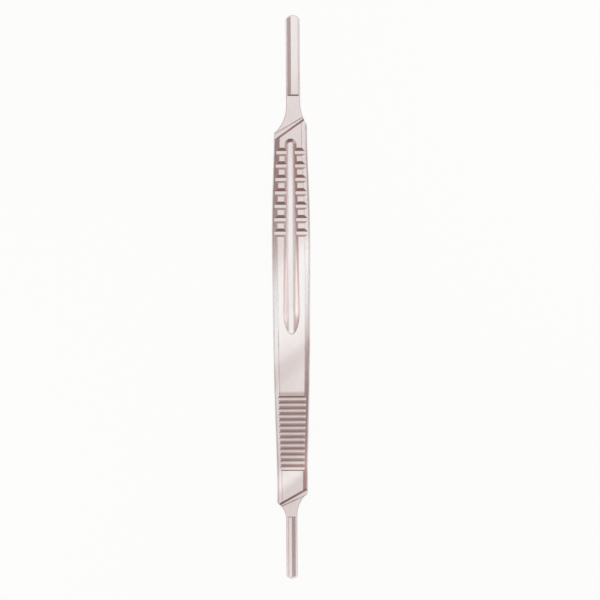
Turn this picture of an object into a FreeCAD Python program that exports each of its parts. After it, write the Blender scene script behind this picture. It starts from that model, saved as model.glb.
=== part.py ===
import FreeCAD, Part
import os
from collections import namedtuple
from math import acos, atan2, cos, degrees, radians, sin, sqrt, tan

# Double-ended surgical scalpel handle: one flat steel bar with a blade fitting at each end.
#
# The handle lies on its back face. +Z is up, out of the front face. +Y runs along the handle towards the
# large fitting. The origin is the centre of the footprint. All sizes are in millimetres.
#
# A leaf-shaped bar with bevelled long edges is milled down at both ends: a slanting shoulder with a cove at
# its foot drops to a thin neck, the neck flares into the bar, and a tongue with an undercut boss holds a
# slotted blade. Front and back carry the same grip: a tapering channel crossed by seven grooves, which leave
# two rows of square pads, and a field of scallops near the small fitting.

V = FreeCAD.Vector

# Bar
LENGTH = 170.0  # tip to tip
THICKNESS = 3.2
LARGE_SHOULDER_WIDTH = 10.0  # across the bar at the large fitting's shoulder
GRIP_WIDTH = 11.15  # at the middle of the pads
WIDEST = 11.4
SCALLOPS_WIDTH = 10.5  # at the first scallop
SMALL_SHOULDER_WIDTH = 9.2  # at the small fitting's shoulder
WIDEST_PLACE = -1.0  # from the middle of the handle, along it
LARGE_BEVEL_RUN = 1.85  # across the face at the large fitting's end, where the bevels are widest
SMALL_BEVEL_RUN = 1.35  # at the small fitting's end
BEVEL_DROP = 0.9  # down the side
SIDE_FLAT = 0.07  # left flat along the middle of the sides, which are rounded into their bevels
FACE_ROUND = 0.8  # softens the edges between faces and bevels

# Necks and tongues, with levels measured up from the back face
HEEL_LEVEL = 0.9  # back of the necks and tongues
SEAT_LEVEL = 1.95  # their front, where the blade lies
NECK_CHAMFER = 0.15  # along the edges of the necks and tongues
FLARE_DELAY = 1.3  # from the short flare's start to the long one's

# Shoulders: a step with a round foot, and a wedge-shaped ledge in front of it
SHOULDER_COVE = 0.85
LEDGE_HEIGHT = 0.22  # above the seat
LEDGE_TURN = 5.0  # degrees between the ledge's edge and the shoulder
LEDGE_NARROW = 0.45  # its width where the neck is shortest

# Blade slot and boss, alike at both ends
SLOT_HEIGHT = 0.45  # takes a 0.4 mm blade
SLOT_DEPTH = 0.45  # undercut on each side of the boss
HEAD_HEIGHT = 0.5
FLANK_RUN = 1.1  # wide slope along one side of the boss
FLANK_DROP = 0.32
HEAD_CHAMFER = 0.2  # along its other side

# Large fitting, at the +Y end
LARGE_TONGUE_WIDTH = 4.2
LARGE_TONGUE_LENGTH = 26.0  # straight part, from the tip to where the neck starts to flare
LARGE_TONGUE_ROUND = 1.2  # length of the rounded tip
LARGE_TONGUE_OFFSET = 0.84  # from the middle of the bar
LARGE_BOSS_LENGTH = 24.4
LARGE_END_RUN = 0.35  # slope of the boss's square end
LARGE_RIM = 0.4  # the tongue's rim around the boss
LARGE_NECK_LENGTH = 10.45  # from the boss to the shoulder, along the middle of the bar
LARGE_SHOULDER_ANGLE = 35.5
LARGE_CORNER_ROUND = 0.9  # at the shoulder's far corner
LARGE_LONG_FLARE = 11.4
LARGE_SHORT_FLARE = 14.0

# Small fitting, at the -Y end
SMALL_TONGUE_WIDTH = 3.35
SMALL_TONGUE_LENGTH = 17.8
SMALL_TONGUE_ROUND = 0.8
SMALL_TONGUE_OFFSET = 0.27
SMALL_BOSS_LENGTH = 18.7
SMALL_END_RUN = 0.15
SMALL_RIM = 0.6
SMALL_NECK_LENGTH = 6.3
SMALL_SHOULDER_ANGLE = 29.5
SMALL_CORNER_ROUND = 1.3
SMALL_LONG_FLARE = 8.6
SMALL_SHORT_FLARE = 6.2

# Channel
CHANNEL_LENGTH = 59.0
CHANNEL_TOP_WIDTH = 3.55
CHANNEL_LOW_WIDTH = 5.0
CHANNEL_DEPTH = 0.85
CHANNEL_WALL_RUN = 1.0
CHANNEL_FLOOR_RADIUS = 4.5  # hollow of the floor
CHANNEL_RUN_OUT = 7.0  # length of its oval lower end, where the floor rises
CHANNEL_END_DEPTH = 0.12  # left at the very end
CHANNEL_TO_SHOULDER = 2.5

# Cross grooves
GROOVE_COUNT = 7
GROOVE_PITCH = 4.05
GROOVE_FLOOR = 0.92
GROOVE_UPPER_RUN = 0.97  # slope of the wall towards the large fitting
GROOVE_LOWER_RUN = 0.66  # slope of the other wall
GROOVE_DEPTH = 0.5
GROOVE_TO_SHOULDER = 6.68  # from the large shoulder to the first groove

# Scallops, with a sharp ridge between each two
SCALLOP_COUNT = 13
SCALLOP_PITCH = 1.74
SCALLOP_WIDTH = 1.7
SCALLOP_DEPTH = 0.3
SCALLOP_TO_SHOULDER = 8.4  # from the small shoulder to the last one

TIP = LENGTH / 2
LARGE_SHOULDER = TIP - LARGE_BOSS_LENGTH - LARGE_NECK_LENGTH
SMALL_SHOULDER = TIP - SMALL_BOSS_LENGTH - SMALL_NECK_LENGTH
CHANNEL_TOP = LARGE_SHOULDER - CHANNEL_TO_SHOULDER
CHANNEL_LOW = CHANNEL_TOP - CHANNEL_LENGTH + CHANNEL_RUN_OUT  # where the oval end starts
CLEAR = 1.0  # how far the cutters run past the steel
REACH = max(WIDEST, GRIP_WIDTH, SCALLOPS_WIDTH, LARGE_SHOULDER_WIDTH, SMALL_SHOULDER_WIDTH) / 2 + CLEAR
FAR = REACH + 2 * CLEAR  # both are measured from the middle of the bar to places outside its sides

Fitting = namedtuple(
    "Fitting",
    "half_width tip_round offset boss_length end_run rim shoulder shoulder_angle corner_round "
    "half_bar flare_start long_flare short_flare",
)
LARGE = Fitting(
    LARGE_TONGUE_WIDTH / 2,
    LARGE_TONGUE_ROUND,
    LARGE_TONGUE_OFFSET,
    LARGE_BOSS_LENGTH,
    LARGE_END_RUN,
    LARGE_RIM,
    LARGE_SHOULDER,
    radians(LARGE_SHOULDER_ANGLE),
    LARGE_CORNER_ROUND,
    LARGE_SHOULDER_WIDTH / 2,
    TIP - LARGE_TONGUE_LENGTH,
    LARGE_LONG_FLARE,
    LARGE_SHORT_FLARE,
)
SMALL = Fitting(
    SMALL_TONGUE_WIDTH / 2,
    SMALL_TONGUE_ROUND,
    SMALL_TONGUE_OFFSET,
    SMALL_BOSS_LENGTH,
    SMALL_END_RUN,
    SMALL_RIM,
    SMALL_SHOULDER,
    radians(SMALL_SHOULDER_ANGLE),
    SMALL_CORNER_ROUND,
    SMALL_SHOULDER_WIDTH / 2,
    TIP - SMALL_TONGUE_LENGTH,
    SMALL_LONG_FLARE,
    SMALL_SHORT_FLARE,
)


def line(start, end):
    return Part.makeLine(start, end)


def arc(start, through, end):
    return Part.Arc(start, through, end).toShape()


def prism(edges, direction):
    """Solid made by pushing the closed outline along a direction."""
    wire = Part.Wire(Part.__sortEdges__(edges))
    return Part.Face(wire).extrude(direction)


def through(edges, past):
    """Prism of an outline seen from above, running past the back and front faces."""
    solid = prism(edges, V(0, 0, THICKNESS + 2 * past))
    solid.translate(V(0, 0, -past))
    return solid


def polygon_prism(points, direction):
    return Part.Face(Part.makePolygon(points + points[:1])).extrude(direction)


def turned(shape):
    """The shape turned half round, so that what faced +Y faces -Y."""
    copy = shape.copy()
    copy.rotate(V(0, 0, 0), V(0, 0, 1), 180)
    return copy


def on_back(shape):
    """The shape mirrored from the front face to the back face."""
    return shape.mirror(V(0, 0, THICKNESS / 2), V(0, 0, 1))


# Bar with bevelled long edges
def bevel_run(y):
    share = (y + TIP) / LENGTH
    return SMALL_BEVEL_RUN + (LARGE_BEVEL_RUN - SMALL_BEVEL_RUN) * share


def side_edges(side, bevelled, level):
    """One long side of the bar, -1 for the left and 1 for the right: a curve with a straight run-on."""
    stations = (
        (LARGE_SHOULDER, LARGE_SHOULDER_WIDTH),
        (groove_place((GROOVE_COUNT - 1) / 2), GRIP_WIDTH),
        (WIDEST_PLACE, WIDEST),
        (scallop_place(0), SCALLOPS_WIDTH),
        (-SMALL_SHOULDER, SMALL_SHOULDER_WIDTH),
    )
    places = [V(side * (width / 2 - bevelled * bevel_run(y)), y, level) for y, width in stations]
    curve = Part.BSplineCurve()
    curve.interpolate(places, InitialTangent=V(0, -1, 0), FinalTangent=V(0, -1, 0))
    return [
        line(V(places[0].x, TIP + CLEAR, level), places[0]),
        curve.toShape(),
        line(places[-1], V(places[-1].x, -TIP - CLEAR, level)),
    ]


def bar_outline(bevelled, level):
    """The bar seen from above, past both tips: 0 at its full width, 1 at the inner edges of the bevels."""
    left = side_edges(-1, bevelled, level)
    right = side_edges(1, bevelled, level)
    top = line(right[0].Vertexes[0].Point, left[0].Vertexes[0].Point)
    bottom = line(left[-1].Vertexes[-1].Point, right[-1].Vertexes[-1].Point)
    return Part.Wire(Part.__sortEdges__(left + right + [top, bottom]))


def bar():
    levels = ((1, 0), (0, BEVEL_DROP), (0, THICKNESS - BEVEL_DROP), (1, THICKNESS))
    solid = Part.makeLoft([bar_outline(bevelled, level) for bevelled, level in levels], True, True)
    slope = atan2(BEVEL_DROP, max(LARGE_BEVEL_RUN, SMALL_BEVEL_RUN))
    half_side = THICKNESS / 2 - BEVEL_DROP
    side_round = (half_side - SIDE_FLAT / 2) / tan((radians(90) - slope) / 2)
    solid = solid.makeFillet(side_round, long_edges(solid, half_side))
    return solid.makeFillet(FACE_ROUND, long_edges(solid, THICKNESS / 2))


def long_edges(solid, height):
    """Long edges of the bar at a height above and below its middle level."""
    return [
        edge
        for edge in solid.Edges
        if abs(abs(edge.CenterOfMass.z - THICKNESS / 2) - height) < 1e-6
        and edge.BoundBox.YLength > CLEAR
    ]


# Blade fittings, each drawn at the +Y end
def flare(fitting, side, radius, start, inset, level):
    """Hollow curve from the neck's side out past the bar, and the run-on beyond it."""
    centre = fitting.offset + side * (fitting.half_width + radius)
    radius += inset
    turn = acos(max(0.0, (side * centre - REACH) / radius))

    def point(angle):
        return V(centre - side * radius * cos(angle), start - radius * sin(angle), level)

    corner = V(side * FAR, point(turn).y, level)
    return [
        arc(point(0), point(turn / 2), point(turn)),
        line(point(turn), corner),
        line(corner, V(side * FAR, 0, level)),
    ]


def plate_outline(fitting, inset, level):
    """Neck and tongue seen from above, running on under the bar."""
    left = fitting.offset - fitting.half_width + inset
    right = fitting.offset + fitting.half_width - inset
    round_start = TIP - fitting.tip_round
    long_start = fitting.flare_start - FLARE_DELAY
    edges = [
        line(V(left, long_start, level), V(left, round_start, level)),
        arc(V(left, round_start, level), V(fitting.offset, TIP - inset, level), V(right, round_start, level)),
        line(V(right, round_start, level), V(right, fitting.flare_start, level)),
        line(V(-FAR, 0, level), V(FAR, 0, level)),
    ]
    edges += flare(fitting, -1, fitting.long_flare, long_start, inset, level)
    edges += flare(fitting, 1, fitting.short_flare, fitting.flare_start, inset, level)
    return Part.Wire(Part.__sortEdges__(edges))


def full_height(fitting):
    """Half of the handle before its end is milled, cut in on one side by the neck's short flare."""
    right = fitting.offset + fitting.half_width
    edges = [
        line(V(FAR, 0, 0), V(-FAR, 0, 0)),
        line(V(-FAR, 0, 0), V(-FAR, TIP, 0)),
        line(V(-FAR, TIP, 0), V(right, TIP, 0)),
        line(V(right, TIP, 0), V(right, fitting.flare_start, 0)),
    ]
    edges += flare(fitting, 1, fitting.short_flare, fitting.flare_start, 0, 0)
    return through(edges, CLEAR / 2)


def plate(fitting):
    """Neck and tongue, with chamfered edges."""
    levels = (
        (NECK_CHAMFER, HEEL_LEVEL),
        (0, HEEL_LEVEL + NECK_CHAMFER),
        (0, SEAT_LEVEL - NECK_CHAMFER),
        (NECK_CHAMFER, SEAT_LEVEL),
    )
    solid = Part.makeLoft([plate_outline(fitting, inset, level) for inset, level in levels], True, True)
    return solid.common(neck_space(fitting))


def milled(start, angle, section):
    """Milling path across the bar: the section's points and arcs run out from a slanting line."""
    along = V(cos(angle), sin(angle), 0)
    away = V(-along.y, along.x, 0)
    first = start - along * (4 * REACH)
    edges = []
    for shape, points in section:
        edges.append(shape(*[first + away * out + V(0, 0, height) for out, height in points]))
    return prism(edges, along * (8 * REACH))


def shoulder_cut(fitting, level):
    """The shoulder's step, down to a level of the front, with its round foot."""
    top = THICKNESS + SHOULDER_COVE + CLEAR
    foot = level + SHOULDER_COVE
    bend = SHOULDER_COVE * (1 - sqrt(0.5))
    section = (
        (line, ((0, top), (0, foot))),
        (arc, ((0, foot), (bend, level + bend), (SHOULDER_COVE, level))),
        (line, ((SHOULDER_COVE, level), (LENGTH, level))),
        (line, ((LENGTH, level), (LENGTH, top))),
        (line, ((LENGTH, top), (0, top))),
    )
    return milled(V(0, fitting.shoulder, 0), fitting.shoulder_angle, section)


def ledge_line(fitting):
    """A point on the ledge's front edge, on the short side of the neck, and the edge's angle."""
    side = fitting.offset + fitting.half_width
    rise = side * tan(fitting.shoulder_angle)
    start = V(side, fitting.shoulder + rise + LEDGE_NARROW + SHOULDER_COVE, 0)
    return start, fitting.shoulder_angle - radians(LEDGE_TURN)


def ledge_cut(fitting):
    """From the ledge down to the seat, on a slope as long as it is high."""
    top = THICKNESS + CLEAR
    back = LEDGE_HEIGHT + SEAT_LEVEL - top
    section = (
        (line, ((LEDGE_HEIGHT, SEAT_LEVEL), (LENGTH, SEAT_LEVEL))),
        (line, ((LENGTH, SEAT_LEVEL), (LENGTH, top))),
        (line, ((LENGTH, top), (back, top))),
        (line, ((back, top), (LEDGE_HEIGHT, SEAT_LEVEL))),
    )
    return milled(*ledge_line(fitting), section)


def neck_space(fitting):
    """Everything past the ledge, where only the plate is left."""
    top = THICKNESS + CLEAR
    section = (
        (line, ((LEDGE_HEIGHT, -CLEAR), (LENGTH, -CLEAR))),
        (line, ((LENGTH, -CLEAR), (LENGTH, top))),
        (line, ((LENGTH, top), (LEDGE_HEIGHT, top))),
        (line, ((LEDGE_HEIGHT, top), (LEDGE_HEIGHT, -CLEAR))),
    )
    return milled(*ledge_line(fitting), section)


def corner_cut(fitting):
    """Rounds the corner between the ledge and the bar's side, seen from above."""
    start, angle = ledge_line(fitting)
    away = V(-sin(angle), cos(angle), 0)
    start += away * LEDGE_HEIGHT
    side = -fitting.half_bar
    x = side + fitting.corner_round
    centre = V(x, start.y + (x - start.x) * tan(angle) - fitting.corner_round / cos(angle), 0)
    middle = V(-1, 0, 0) + away
    middle.normalize()
    low = V(side, centre.y, 0)
    high = centre + away * fitting.corner_round
    past = high + away * CLEAR
    edges = [
        arc(low, centre + middle * fitting.corner_round, high),
        line(high, past),
        line(past, V(-FAR, past.y, 0)),
        line(V(-FAR, past.y, 0), V(-FAR, low.y, 0)),
        line(V(-FAR, low.y, 0), low),
    ]
    return through(edges, CLEAR)


def boss(fitting):
    """Undercut boss: a narrow stem that the blade's slot clears, under a head with one sloping flank."""
    head = fitting.half_width - fitting.rim
    stem = head - SLOT_DEPTH
    slot_top = SEAT_LEVEL + SLOT_HEIGHT
    top = slot_top + HEAD_HEIGHT
    section = [
        V(-stem, 0, SEAT_LEVEL - HEAD_CHAMFER),
        V(stem, 0, SEAT_LEVEL - HEAD_CHAMFER),
        V(stem, 0, slot_top),
        V(head, 0, slot_top),
        V(head, 0, top - HEAD_CHAMFER),
        V(head - HEAD_CHAMFER, 0, top),
        V(-head + FLANK_RUN, 0, top),
        V(-head, 0, top - FLANK_DROP),
        V(-head, 0, slot_top),
        V(-stem, 0, slot_top),
    ]
    rail = polygon_prism(section, V(0, fitting.boss_length, 0))
    start = -fitting.boss_length
    rail.translate(V(0, start, 0))
    round_start = -fitting.tip_round
    footprint = [
        line(V(-head, start, 0), V(head, start, 0)),
        line(V(head, start, 0), V(head, round_start, 0)),
        arc(V(head, round_start, 0), V(0, -fitting.rim, 0), V(-head, round_start, 0)),
        line(V(-head, round_start, 0), V(-head, start, 0)),
    ]
    end_slope = polygon_prism(
        [V(-FAR, start, slot_top), V(-FAR, start + fitting.end_run, top), V(-FAR, start, top)],
        V(2 * FAR, 0, 0),
    )
    solid = rail.common(through(footprint, CLEAR)).cut(end_slope)
    solid.translate(V(fitting.offset, TIP, 0))
    return solid


# Grip
def groove_place(number):
    return LARGE_SHOULDER - GROOVE_TO_SHOULDER - number * GROOVE_PITCH


def scallop_place(number):
    return -SMALL_SHOULDER + SCALLOP_TO_SHOULDER + (SCALLOP_COUNT - 1 - number) * SCALLOP_PITCH


def channel_outline(depth):
    """Outline of the channel at a depth below the face: a round end, tapering sides and an oval end."""
    inset = CHANNEL_WALL_RUN * depth / CHANNEL_DEPTH
    top_radius = CHANNEL_TOP_WIDTH / 2 - inset
    low_half = CHANNEL_LOW_WIDTH / 2 - inset
    run_out = CHANNEL_RUN_OUT - inset
    level = THICKNESS - depth
    round_centre = CHANNEL_TOP - CHANNEL_TOP_WIDTH / 2
    high = [V(-top_radius, round_centre, level), V(top_radius, round_centre, level)]
    low = [V(-low_half, CHANNEL_LOW, level), V(low_half, CHANNEL_LOW, level)]
    oval = Part.Ellipse(V(0, CHANNEL_LOW - run_out, level), low[1], V(0, CHANNEL_LOW, level))
    edges = [
        arc(high[0], V(0, round_centre + top_radius, level), high[1]),
        line(high[1], low[1]),
        oval.toShape(radians(-90), radians(90)),
        line(low[0], high[0]),
    ]
    return Part.Wire(Part.__sortEdges__(edges))


def channel_floor():
    """Hollow of the floor: a long round rod that runs level, then bends up and past the oval end."""
    height = THICKNESS - CHANNEL_DEPTH + CHANNEL_FLOOR_RADIUS
    centre = V(0, CHANNEL_LOW, height)
    rise = CHANNEL_DEPTH - CHANNEL_END_DEPTH
    bend = (CHANNEL_RUN_OUT ** 2 + rise ** 2) / (2 * rise) - CHANNEL_FLOOR_RADIUS
    level = Part.makeCylinder(CHANNEL_FLOOR_RADIUS, LENGTH, centre, V(0, 1, 0))
    disc = Part.Face(Part.Wire(Part.makeCircle(CHANNEL_FLOOR_RADIUS, centre, V(0, 1, 0))))
    turn = degrees(2 * atan2(CHANNEL_RUN_OUT, bend))
    rising = disc.revolve(centre + V(0, 0, bend), V(-1, 0, 0), turn)
    return level.fuse(rising)


def channel():
    walls = Part.makeLoft([channel_outline(CHANNEL_DEPTH), channel_outline(-CLEAR / 2)], True, True)
    return walls.common(channel_floor())


def cross_groove(number):
    place = groove_place(number)
    low = THICKNESS - GROOVE_DEPTH
    high = THICKNESS + CLEAR
    rise = (high - low) / GROOVE_DEPTH
    lower = place - GROOVE_FLOOR / 2
    upper = place + GROOVE_FLOOR / 2
    section = [
        V(-REACH, lower, low),
        V(-REACH, upper, low),
        V(-REACH, upper + GROOVE_UPPER_RUN * rise, high),
        V(-REACH, lower - GROOVE_LOWER_RUN * rise, high),
    ]
    return polygon_prism(section, V(2 * REACH, 0, 0))


def scallop(number):
    radius = (SCALLOP_WIDTH ** 2 / 4 + SCALLOP_DEPTH ** 2) / (2 * SCALLOP_DEPTH)
    centre = V(-REACH, scallop_place(number), THICKNESS - SCALLOP_DEPTH + radius)
    return Part.makeCylinder(radius, 2 * REACH, centre, V(1, 0, 0))


def grip_cutters():
    front = [channel()]
    front += [cross_groove(number) for number in range(GROOVE_COUNT)]
    front += [scallop(number) for number in range(SCALLOP_COUNT)]
    return front + [on_back(cutter) for cutter in front]


# Whole handle
def end_cuts(fitting):
    return [
        shoulder_cut(fitting, SEAT_LEVEL + LEDGE_HEIGHT),
        ledge_cut(fitting),
        on_back(shoulder_cut(fitting, THICKNESS - HEEL_LEVEL)),
        neck_space(fitting),
        corner_cut(fitting),
    ]


def profile():
    """The handle with square sides: the full height between the shoulders, and the two plates."""
    solid = full_height(LARGE).fuse(turned(full_height(SMALL))).removeSplitter()
    solid = solid.cut(end_cuts(LARGE) + [turned(cut) for cut in end_cuts(SMALL)])
    return solid.fuse([plate(LARGE), turned(plate(SMALL))])


def handle():
    solid = bar().common(profile())
    solid = solid.cut(grip_cutters())
    solid = solid.fuse([boss(LARGE), turned(boss(SMALL))])
    return solid.removeSplitter()


os.makedirs("parts", exist_ok=True)
handle().exportStep("parts/scalpel_handle.step")
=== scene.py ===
import bpy
from math import pi, radians, tan
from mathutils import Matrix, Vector

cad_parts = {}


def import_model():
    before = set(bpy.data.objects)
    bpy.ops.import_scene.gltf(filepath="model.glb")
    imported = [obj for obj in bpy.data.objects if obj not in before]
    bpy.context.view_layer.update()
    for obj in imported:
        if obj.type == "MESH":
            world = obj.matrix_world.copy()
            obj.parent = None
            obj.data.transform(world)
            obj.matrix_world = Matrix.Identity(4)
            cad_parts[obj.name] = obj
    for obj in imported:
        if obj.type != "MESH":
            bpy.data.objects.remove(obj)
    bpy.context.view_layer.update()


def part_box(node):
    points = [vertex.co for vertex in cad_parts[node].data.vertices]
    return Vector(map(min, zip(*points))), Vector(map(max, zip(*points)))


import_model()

# Looks of the double-ended scalpel handle: satin steel, lit by soft panels on a pale floor.

MM = 0.001
low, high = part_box("scalpel_handle")
LENGTH = high[1] - low[1]
TOP = high[2]

# Photograph's frame
IMAGE_WIDTH = 600  # pixels
TIPS_APART = 564.5  # pixels
PIXEL = LENGTH / TIPS_APART
CENTRE_X = 2.58 * MM  # middle of the photograph, from the middle of the handle
CENTRE_Y = -0.98 * MM
LEAN = radians(0.33)  # the handle leans to the left in the photograph
LENS = 180.0  # millimetres
SENSOR = 36.0  # millimetres

# Steel
STEEL = (0.828, 0.83, 0.828)
WARM = (1.14, 0.98, 0.965)  # share of each colour given back on slopes and where the painted shade is darkest: a painted warm tint of shade and dark reflections
BRIGHT = 0.95  # painted shade level from which the steel has its own colour
FULL_WARMTH_SHADE = 0.45  # painted shade level at which the warm painted tint is full
LEVEL = 0.99  # share of a face's direction that points up or down, where a face counts as level
SLOPED = 0.93  # and where it counts as a slope
PAINTED_SHADE_SLANT = 0.8  # the painted shade bands run aslant: the same shade lies this much lower for each step to the left
PAINTED_SHADE_BANDS = (  # painted shade and reflection bands: share of the length from the small tip, and brightness
    (0.0, 0.87), (0.13, 0.69), (0.16, 0.68), (0.187, 0.89),
    (0.22, 0.75), (0.3, 0.73), (0.345, 0.75), (0.378, 0.69),
    (0.41, 0.83), (0.5, 0.96), (0.54, 0.95), (0.61, 0.74),
    (0.78, 0.72), (0.85, 0.74), (0.9, 0.83), (1.0, 0.88),
)
NOISE_RANGE = (0.3, 0.7)  # most values of a noise texture lie in it
CLOUD_SCALE = 110  # per metre
CLOUD_SHADES = (0.95, 1.03)
GRAIN_SCALE = 9000  # per metre
GRAIN_DEPTH = 0.02 * MM
GRAIN_STRENGTH = 0.06
ROUGHNESS = (0.2, 0.3)
BROKEN_EDGE = 0.06 * MM  # radius

# Milled places. Those across the handle are measured from its middle
FACE_SIDE = 3.5 * MM  # the milled finish, and the warm painted tint on slopes, are full up to here
BEVEL_SIDE = 3.9 * MM  # and has faded out here
MILLED_ROUGHNESS = 0.14  # added on the scallops
MILLED = (  # share of the length from the small tip, and share of the added roughness
    (0.0, 0.0), (0.19, 0.0), (0.2, 1.0), (0.315, 1.0), (0.325, 0.0), (1.0, 0.0),
)
CHANNEL_PAINTED_LIGHT = 0.89  # painted highlight: brightness painted on the channel's floor
CHANNEL_HIGHLIGHT_SPAN = (  # share of the length from the small tip, and share of that painted highlight
    (0.0, 0.0), (0.4, 0.0), (0.5, 1.0), (0.66, 1.0), (0.78, 0.2), (0.8, 0.0), (1.0, 0.0),
)
CHANNEL_FLOOR = 1.0 * MM  # the painted highlight is full up to here
CHANNEL_WALL = 1.4 * MM  # and has faded out here
FLOOR_DEPTH = 0.6 * MM  # below the face, it is full from here down
WALL_DEPTH = 0.3 * MM  # and has faded out here
# Painted shade: a darker strip above the first scallop
SCALLOP_EDGE = -29.87 * MM  # upper edge of the first scallop
STRIP_SHADE = 0.66
STRIP_FOOT = -0.1 * MM  # from the scallop's edge, where the strip has ended
STRIP_LOW = 0.8 * MM  # where it starts to fade out upwards
STRIP_HIGH = 1.5 * MM
STRIP_SIDE = 3.8 * MM  # where it starts to fade out sideways
STRIP_END = 3.95 * MM

# Studio
ROOM = (0.29, 0.188, 0.171, 1)  # what the steel mirrors where no lamp is
BACKDROP = (0.973, 0.98, 0.973, 1)
FLOOR_SIZE = 6.0  # metres
FLOOR_LEVEL = -0.02 * MM  # a hair lower than the back, so that the two don't coincide
FLOOR_COLOUR = (0.86, 0.86, 0.86, 1)
FLOOR_GLOW = (1.03, 1.035, 1.03, 1)
GLOW_SHARE = 0.88  # of the floor's look to the camera and in the steel; the rest takes light and shadow
PANEL_DISTANCE = 0.19  # metres from the middle of the handle to the light panels beside it
SHADE_TINT = (1.37, 0.87, 0.82)  # warm dark parts of the room
LIGHT_TINT = (0.955, 1.012, 1.018)  # the windows are a little cooler


def nodes_of(owner):
    """Emptied node tree of a material or a world."""
    owner.use_nodes = True
    tree = owner.node_tree
    tree.nodes.clear()
    return tree


def add(tree, kind, **values):
    node = tree.nodes.new(kind)
    for name, value in values.items():
        setattr(node, name, value)
    return node


def ramp(tree, source, stops):
    """Smooth curve through (position, value) stops."""
    node = add(tree, "ShaderNodeFloatCurve")
    points = node.mapping.curves[0].points
    while len(points) < len(stops):
        points.new(0.5, 0.5)
    for point, (position, value) in zip(points, stops):
        point.location = (position, value)
    node.mapping.update()
    tree.links.new(source, node.inputs["Value"])
    return node.outputs["Value"]


def operate(tree, operation, first, second=0.0):
    node = add(tree, "ShaderNodeMath", operation=operation)
    for socket, value in zip(node.inputs, (first, second)):
        if isinstance(value, (int, float)):
            socket.default_value = value
        else:
            tree.links.new(value, socket)
    return node.outputs[0]


def noise(tree, place, scale, detail, stretch):
    mapping = add(tree, "ShaderNodeMapping")
    mapping.inputs["Scale"].default_value = [scale * value for value in stretch]
    texture = add(tree, "ShaderNodeTexNoise")
    texture.inputs["Scale"].default_value = 1.0
    texture.inputs["Detail"].default_value = detail
    tree.links.new(place, mapping.inputs["Vector"])
    tree.links.new(mapping.outputs["Vector"], texture.inputs["Vector"])
    return texture.outputs["Fac"]


def remap(tree, source, start, end, start_value=0, end_value=1):
    """Straight run between two values, which holds its ends."""
    node = add(tree, "ShaderNodeMapRange")
    node.inputs["From Min"].default_value = start
    node.inputs["From Max"].default_value = end
    node.inputs["To Min"].default_value = start_value
    node.inputs["To Max"].default_value = end_value
    tree.links.new(source, node.inputs["Value"])
    return node.outputs["Result"]


def painted_shade_bands(tree, axes, along):
    """Painted shade and reflection bands along the handle: darker at both shoulders, on the pads, and on
    and above the scallops.
    """
    aslant = operate(tree, "MULTIPLY", axes.outputs["X"], -PAINTED_SHADE_SLANT / LENGTH)
    return ramp(tree, operate(tree, "ADD", along, aslant), PAINTED_SHADE_BANDS)


def painted_channel_highlight(tree, axes, along, across):
    """Painted highlight: one on the channel's floor, which is painted brighter, and zero elsewhere."""
    narrow = remap(tree, across, CHANNEL_WALL, CHANNEL_FLOOR)
    deep = remap(tree, axes.outputs["Z"], TOP - WALL_DEPTH, TOP - FLOOR_DEPTH)
    inside = operate(tree, "MULTIPLY", narrow, deep)
    return operate(tree, "MULTIPLY", inside, ramp(tree, along, CHANNEL_HIGHLIGHT_SPAN))


def painted_shade_strip(tree, axes, across):
    """Painted shade of the strip above the first scallop, and one elsewhere."""
    height = operate(tree, "SUBTRACT", axes.outputs["Y"], SCALLOP_EDGE)
    above = remap(tree, height, STRIP_LOW, STRIP_HIGH, STRIP_SHADE)
    below = remap(tree, height, 0, STRIP_FOOT, STRIP_SHADE)
    beside = remap(tree, across, STRIP_SIDE, STRIP_END, STRIP_SHADE)
    return operate(tree, "MAXIMUM", operate(tree, "MAXIMUM", above, below), beside)


def steel_colour_and_painted_shade(tree, place, painted_shade, on_face):
    """Steel colour times the painted shade, with slow cloudiness. A warm painted tint of shade lies on
    slopes and where the painted shade is dark.
    """
    cloud = noise(tree, place, CLOUD_SCALE, 2.0, (1, 0.45, 1))
    shade = operate(tree, "MULTIPLY", painted_shade, remap(tree, cloud, *NOISE_RANGE, *CLOUD_SHADES))
    facing = add(tree, "ShaderNodeSeparateXYZ")
    tree.links.new(add(tree, "ShaderNodeNewGeometry").outputs["Normal"], facing.inputs["Vector"])
    upright = operate(tree, "ABSOLUTE", facing.outputs["Z"])
    # slopes get the warm painted tint of shade, as do parts where the painted shade is dark
    slope = operate(tree, "MULTIPLY", remap(tree, upright, LEVEL, SLOPED), on_face)
    painted_warmth = operate(tree, "MAXIMUM", slope, remap(tree, painted_shade, BRIGHT, FULL_WARMTH_SHADE))
    tint = add(tree, "ShaderNodeCombineColor")
    for name, value, warm in zip(("Red", "Green", "Blue"), STEEL, WARM):
        colour = remap(tree, painted_warmth, 0, 1, value, value * warm)
        tree.links.new(operate(tree, "MULTIPLY", shade, colour), tint.inputs[name])
    return tint.outputs["Color"]


def broken_edges(tree, grain):
    """Milled edges are broken slightly, and the grain stands out a little."""
    edge = add(tree, "ShaderNodeBevel", samples=6)
    edge.inputs["Radius"].default_value = BROKEN_EDGE
    bump = add(tree, "ShaderNodeBump")
    bump.inputs["Strength"].default_value = GRAIN_STRENGTH
    bump.inputs["Distance"].default_value = GRAIN_DEPTH
    tree.links.new(grain, bump.inputs["Height"])
    tree.links.new(edge.outputs["Normal"], bump.inputs["Normal"])
    return bump.outputs["Normal"]


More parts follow.
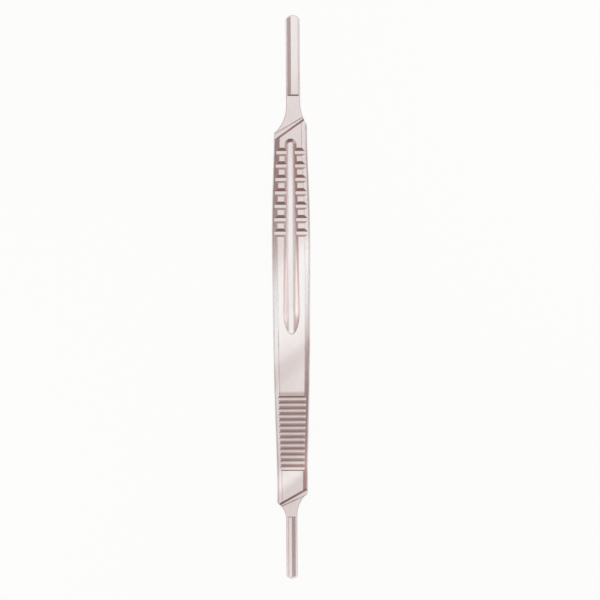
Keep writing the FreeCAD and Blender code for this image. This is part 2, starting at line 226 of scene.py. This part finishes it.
def steel_material():
    material = bpy.data.materials.new("satin_steel")
    tree = nodes_of(material)
    link = tree.links.new
    output = add(tree, "ShaderNodeOutputMaterial")
    shader = add(tree, "ShaderNodeBsdfPrincipled")
    link(shader.outputs[0], output.inputs["Surface"])
    shader.inputs["Metallic"].default_value = 1.0
    place = add(tree, "ShaderNodeTexCoord").outputs["Object"]
    axes = add(tree, "ShaderNodeSeparateXYZ")
    link(place, axes.inputs["Vector"])
    along = remap(tree, axes.outputs["Y"], low[1], high[1])
    across = operate(tree, "ABSOLUTE", axes.outputs["X"])
    on_face = remap(tree, across, BEVEL_SIDE, FACE_SIDE)

    # Colour: painted shade bands along the handle, a painted highlight on the channel's floor, and a
    # painted shade strip above the first scallop
    painted_shade = painted_shade_bands(tree, axes, along)
    painted_lift = operate(tree, "SUBTRACT", CHANNEL_PAINTED_LIGHT, painted_shade)
    painted_lift = operate(tree, "MULTIPLY", painted_lift, painted_channel_highlight(tree, axes, along, across))
    painted_shade = operate(tree, "ADD", painted_shade, painted_lift)
    painted_shade = operate(tree, "MULTIPLY", painted_shade, painted_shade_strip(tree, axes, across))
    link(steel_colour_and_painted_shade(tree, place, painted_shade, on_face), shader.inputs["Base Color"])

    # Grain of the belt that finished the faces, drawn out along the handle, and milled scallops
    grain = noise(tree, place, GRAIN_SCALE, 3.0, (1, 0.04, 1))
    rough = remap(tree, grain, *NOISE_RANGE, *ROUGHNESS)
    milled = operate(tree, "MULTIPLY", ramp(tree, along, MILLED), on_face)
    milled = operate(tree, "MULTIPLY", milled, MILLED_ROUGHNESS)
    link(operate(tree, "ADD", rough, milled), shader.inputs["Roughness"])
    link(broken_edges(tree, grain), shader.inputs["Normal"])
    return material


def smooth_faces(piece):
    """Curved faces shade smoothly, and flat ones stay flat up to their edges."""
    weld = piece.modifiers.new("weld", "WELD")
    weld.merge_threshold = 0.001 * MM
    corners = piece.modifiers.new("sharp_edges", "EDGE_SPLIT")
    corners.split_angle = radians(12)
    weights = piece.modifiers.new("large_faces_lead", "WEIGHTED_NORMAL")
    weights.weight = 100
    for polygon in piece.data.polygons:
        polygon.use_smooth = True


def floor_material():
    material = bpy.data.materials.new("pale_floor")
    tree = nodes_of(material)
    link = tree.links.new
    output = add(tree, "ShaderNodeOutputMaterial")
    matt = add(tree, "ShaderNodeBsdfDiffuse")
    matt.inputs["Color"].default_value = FLOOR_COLOUR
    glow = add(tree, "ShaderNodeEmission")
    glow.inputs["Color"].default_value = FLOOR_GLOW
    path = add(tree, "ShaderNodeLightPath")
    looked_at = operate(tree, "MAXIMUM", path.outputs["Is Camera Ray"], path.outputs["Is Glossy Ray"])
    mix = add(tree, "ShaderNodeMixShader")
    link(operate(tree, "MULTIPLY", looked_at, GLOW_SHARE), mix.inputs["Fac"])
    link(matt.outputs[0], mix.inputs[1])
    link(glow.outputs[0], mix.inputs[2])
    link(mix.outputs[0], output.inputs["Surface"])
    return material


def floor():
    bpy.ops.mesh.primitive_plane_add(size=FLOOR_SIZE, location=(0, 0, FLOOR_LEVEL))
    plane = bpy.context.object
    plane.name = "floor"
    plane.data.materials.append(floor_material())


def world():
    scene_world = bpy.data.worlds.new("studio")
    bpy.context.scene.world = scene_world
    tree = nodes_of(scene_world)
    link = tree.links.new
    output = add(tree, "ShaderNodeOutputWorld")
    room = add(tree, "ShaderNodeBackground")
    room.inputs["Color"].default_value = ROOM
    white = add(tree, "ShaderNodeBackground")
    white.inputs["Color"].default_value = BACKDROP
    path = add(tree, "ShaderNodeLightPath")
    mix = add(tree, "ShaderNodeMixShader")
    link(path.outputs["Is Camera Ray"], mix.inputs["Fac"])
    link(room.outputs[0], mix.inputs[1])
    link(white.outputs[0], mix.inputs[2])
    link(mix.outputs[0], output.inputs["Surface"])


def softbox(name, place, aim, width, height, brightness, tint=LIGHT_TINT):
    """Area lamp. Its surface looks as bright as the number says."""
    data = bpy.data.lights.new(name, "AREA")
    data.shape = "RECTANGLE"
    data.size = width
    data.size_y = height
    data.energy = brightness * width * height * pi
    data.color = tint
    lamp = bpy.data.objects.new(name, data)
    bpy.context.collection.objects.link(lamp)
    lamp.location = place
    lamp.rotation_euler = (Vector(aim) - Vector(place)).to_track_quat("-Z", "Y").to_euler()


def side_panel(name, side, start, end, low_angle, high_angle, brightness, tint=LIGHT_TINT):
    """Upright panel beside the handle, from start to end along it, seen between two heights in degrees."""
    foot = PANEL_DISTANCE * tan(radians(low_angle))
    head = PANEL_DISTANCE * tan(radians(high_angle))
    middle = (foot + head) / 2
    place = (side * PANEL_DISTANCE, (start + end) / 2, middle)
    softbox(name, place, (0, place[1], middle), end - start, head - foot, brightness, tint)


def lights():
    softbox("overhead", (0.0625, 0.25, 1.3), (0.0625, 0.25, 0), 0.925, 1.3, 0.72)
    softbox("wide_overhead", (0, 0, 1.31), (0, 0, 0), 2.6, 2.6, 0.26)
    side_panel("left_window", -1, -0.012, 0.015, 18, 60, 0.95)
    side_panel("left_low_window", -1, -0.22, -0.012, 18, 44, 1.03)
    side_panel("left_high_window", -1, -0.06, -0.012, 44, 60, 0.9)
    side_panel("left_wall", -1, 0.015, 0.35, 20, 50, 0.13, SHADE_TINT)
    side_panel("left_sill", -1, -0.06, 0.015, 1, 18, 0.5)
    side_panel("left_low_sill", -1, -0.125, -0.06, 1, 18, 0.3, SHADE_TINT)
    side_panel("left_corner", -1, 0.015, 0.35, 4, 20, 0.12, SHADE_TINT)
    side_panel("right_window", 1, -0.0175, 0.35, 24, 46, 1.1)
    side_panel("right_high_window", 1, -0.0175, 0.06, 46, 60, 0.4)
    side_panel("right_corner", 1, -0.045, -0.0175, 13, 60, 0.03, SHADE_TINT)
    side_panel("right_low_corner", 1, -0.16, -0.05, 13, 38, 0.24, SHADE_TINT)
    side_panel("right_low_sill", 1, -0.125, -0.015, 1, 13, 0.55)
    side_panel("right_sill", 1, -0.015, 0.015, 1, 13, 0.9)
    side_panel("right_high_sill", 1, 0.015, 0.35, 1, 18, 0.42)
    softbox("left_strip", (-0.14, 0.005, 0.25), (-0.14, 0.005, 0), 0.12, 0.05, 0.22)
    softbox("right_strip", (0.14, 0.005, 0.25), (0.14, 0.005, 0), 0.12, 0.05, 0.38)
    softbox("far_panel", (0, 0.4, 0.11), (0, 0, 0.11), 0.14, 0.13, 0.38)


def camera():
    data = bpy.data.cameras.new("camera")
    data.lens = LENS
    data.sensor_width = SENSOR
    eye = bpy.data.objects.new("camera", data)
    bpy.context.collection.objects.link(eye)
    height = PIXEL * IMAGE_WIDTH * LENS / SENSOR
    eye.location = (CENTRE_X, CENTRE_Y, TOP + height)
    eye.rotation_euler = (0, 0, -LEAN)
    bpy.context.scene.camera = eye


handle = bpy.data.objects["scalpel_handle"]
handle.data.materials.clear()
handle.data.materials.append(steel_material())
smooth_faces(handle)
floor()
world()
lights()
camera()
bpy.context.scene.view_settings.view_transform = "Standard"
